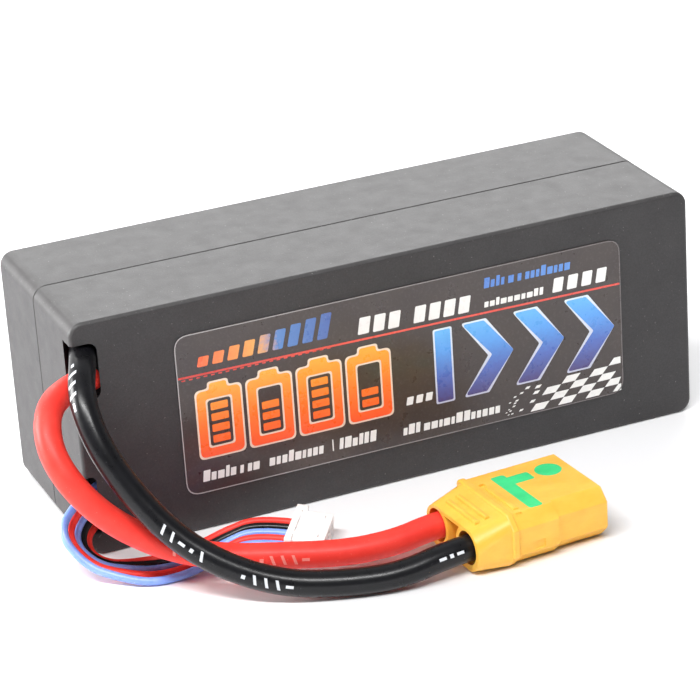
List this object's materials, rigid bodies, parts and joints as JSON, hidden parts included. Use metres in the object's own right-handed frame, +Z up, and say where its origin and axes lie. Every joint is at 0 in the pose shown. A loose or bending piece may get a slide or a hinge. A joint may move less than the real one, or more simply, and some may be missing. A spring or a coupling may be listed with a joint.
{
  "type": "lithium polymer battery pack",
  "caption": "Hard-case lithium polymer battery pack with stacked pouch cells, silicone power leads in a yellow two-pole connector, and a balance lead with a white plug.",
  "frame": {"origin": "middle of the underside of the case", "axes": "+X along the case away from the leads' end, +Y towards the unlabelled rear face, +Z up"},
  "size_m": [0.1508, 0.0948, 0.0515],
  "materials": {
    "case_plastic": "moulded charcoal plastic with a fine matte texture",
    "label_film": "printed polyester film, gloss",
    "pouch_foil": "laminated pouch foil, satin",
    "nickel_tab": "nickel strip",
    "link_metal": "nickel-plated plate",
    "terminal_metal": "tinned brass block",
    "insulating_sheet": "barley-paper coloured insulating sheet",
    "foam": "closed-cell foam",
    "board": "glass-fibre circuit board",
    "solder": "tinned strands and solder",
    "seal_rubber": "black sealing foam",
    "black_silicone": "soft silicone jacket, satin",
    "red_silicone": "soft silicone jacket, satin",
    "blue_silicone": "soft silicone jacket, satin",
    "connector_plastic": "moulded yellow nylon",
    "contact_metal": "gold-plated contact",
    "green_plastic": "moulded green plastic",
    "plug_plastic": "moulded white nylon",
    "terminal_tin": "tin-plated terminals"
  },
  "bodies": {
    "root": {"case_front_shell": "case_plastic", "case_rear_shell": "case_plastic", "front_label": "label_film", "cell_1": "pouch_foil", "cell_2": "pouch_foil", "cell_3": "pouch_foil", "cell_4": "pouch_foil", "positive_tabs": "nickel_tab", "negative_tabs": "nickel_tab", "series_links": "link_metal", "positive_terminal_block": "terminal_metal", "negative_terminal_block": "terminal_metal", "cell_separators": "insulating_sheet", "front_insulating_sheet": "insulating_sheet", "rear_insulating_sheet": "insulating_sheet", "top_foam_pad": "foam", "bottom_foam_pad": "foam", "end_foam_pad": "foam", "tab_board": "board", "balance_solder_joints": "solder", "power_lead_core_ends": "solder", "balance_core_ends": "solder", "power_lead_seal": "seal_rubber", "balance_lead_seal": "seal_rubber", "power_lead_black": "black_silicone", "balance_lead_2": "black_silicone", "power_lead_red": "red_silicone", "balance_lead_1": "red_silicone", "balance_lead_4": "red_silicone", "balance_lead_3": "blue_silicone", "balance_lead_5": "blue_silicone", "connector_housing": "connector_plastic", "connector_rear_cap": "connector_plastic", "connector_contact_positive": "contact_metal", "connector_contact_negative": "contact_metal", "spark_guard_insert": "green_plastic", "spark_guard_dot": "green_plastic", "balance_plug_housing": "plug_plastic", "balance_plug_terminals": "terminal_tin"}
  },
  "joints": []
}
